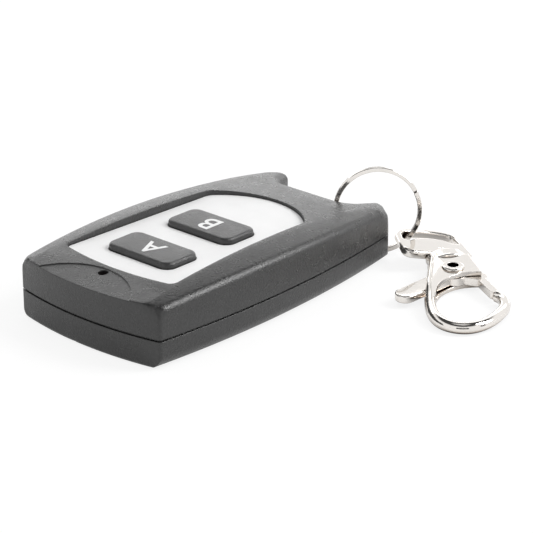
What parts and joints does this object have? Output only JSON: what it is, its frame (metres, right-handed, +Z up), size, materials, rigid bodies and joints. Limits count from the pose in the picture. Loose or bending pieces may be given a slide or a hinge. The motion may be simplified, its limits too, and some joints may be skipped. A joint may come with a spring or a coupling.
{
  "type": "two-button remote control",
  "caption": "Pocket radio remote: dark two-part case with a pale face plate, two keys, a split key ring at the notched end and a swivel snap hook.",
  "frame": {"origin": "centre of the flat underside of the case, on the surface it lies on", "axes": "+Z up out of the face with the keys, +Y along the case towards the notched end with the ring, +X across the case"},
  "size_m": [0.0712, 0.0824, 0.0181],
  "materials": {
    "case_plastic": "fine-grained dark moulding",
    "plate_satin": "pale satin",
    "button_rubber": "matte",
    "lens_plastic": "clear dark red",
    "board_laminate": "solder mask over glass laminate",
    "chip_plastic": "moulded",
    "tin": "tinned",
    "copper_wire": "bare",
    "cell_steel": "nickel-plated",
    "screw_steel": "zinc-plated",
    "pin_steel": "drawn",
    "ring_chrome": "bright nickel plate",
    "clasp_chrome": "bright nickel plate",
    "plunger_plastic": "moulded"
  },
  "bodies": {
    "case": {"upper_shell": "case_plastic", "lower_shell": "case_plastic", "face_plate": "plate_satin", "circuit_board": "board_laminate", "controller_chip": "chip_plastic", "radio_chip": "chip_plastic", "resonator_can": "tin", "chip_parts": "chip_plastic", "antenna_loop": "copper_wire", "status_led": "lens_plastic", "light_pipe": "lens_plastic", "coin_cell": "cell_steel", "cell_contact_negative": "tin", "cell_contact_positive": "tin", "case_screws": "screw_steel", "ring_pin": "pin_steel", "tact_switch_a": "chip_plastic", "tact_switch_b": "chip_plastic"},
    "button_a_cap": {"button_a": "button_rubber"},
    "button_b_cap": {"button_b": "button_rubber"},
    "plunger_a": {"tact_plunger_a": "plunger_plastic"},
    "plunger_b": {"tact_plunger_b": "plunger_plastic"},
    "key_ring": {"split_ring": "ring_chrome"},
    "eye": {"swivel_eye": "clasp_chrome", "swivel_stud": "clasp_chrome"},
    "hook": {"hook_body": "clasp_chrome", "trigger_rivet": "clasp_chrome", "trigger_spring": "screw_steel"},
    "trigger": {"trigger_lever": "clasp_chrome"}
  },
  "joints": [
    {"name": "press_a", "type": "slide", "parent": "case", "child": "button_a_cap", "axis": [0, 0, -1], "range_m": [0, 0.0003], "stiffness_N_per_m": 250},
    {"name": "plunger_travel_a", "type": "slide", "parent": "case", "child": "plunger_a", "axis": [0, 0, -1], "range_m": [0, 0.0003]},
    {"name": "press_b", "type": "slide", "parent": "case", "child": "button_b_cap", "axis": [0, 0, -1], "range_m": [0, 0.0003], "stiffness_N_per_m": 250},
    {"name": "plunger_travel_b", "type": "slide", "parent": "case", "child": "plunger_b", "axis": [0, 0, -1], "range_m": [0, 0.0003]},
    {"name": "ring_turn", "type": "hinge", "parent": "case", "child": "key_ring", "pos_m": [0.006, 0.0326, 0.007], "axis": [0, 0, 1], "range_deg": [0, 25]},
    {"name": "eye_tilt", "type": "hinge", "parent": "key_ring", "child": "eye", "pos_m": [0.01689, 0.04007, 0.00391], "axis": [0.4419, 0.4698, 0.7642], "range_deg": [-15, 30]},
    {"name": "hook_swivel", "type": "hinge", "parent": "eye", "child": "hook", "pos_m": [0.02877, 0.03724, 0.00245], "axis": [0.8165, -0.5758, -0.0415], "continuous": true},
    {"name": "trigger_pull", "type": "hinge", "parent": "hook", "child": "trigger", "pos_m": [0.03314, 0.03314, 0.0022], "axis": [0.0305, -0.0287, 0.9991], "range_deg": [-22, 0], "stiffness_Nm_per_rad": 0.02, "springref_deg": 28.65}
  ],
  "couplings": [
    {"joint": "plunger_travel_a", "follows": "press_a", "ratio": 1},
    {"joint": "plunger_travel_b", "follows": "press_b", "ratio": 1}
  ]
}
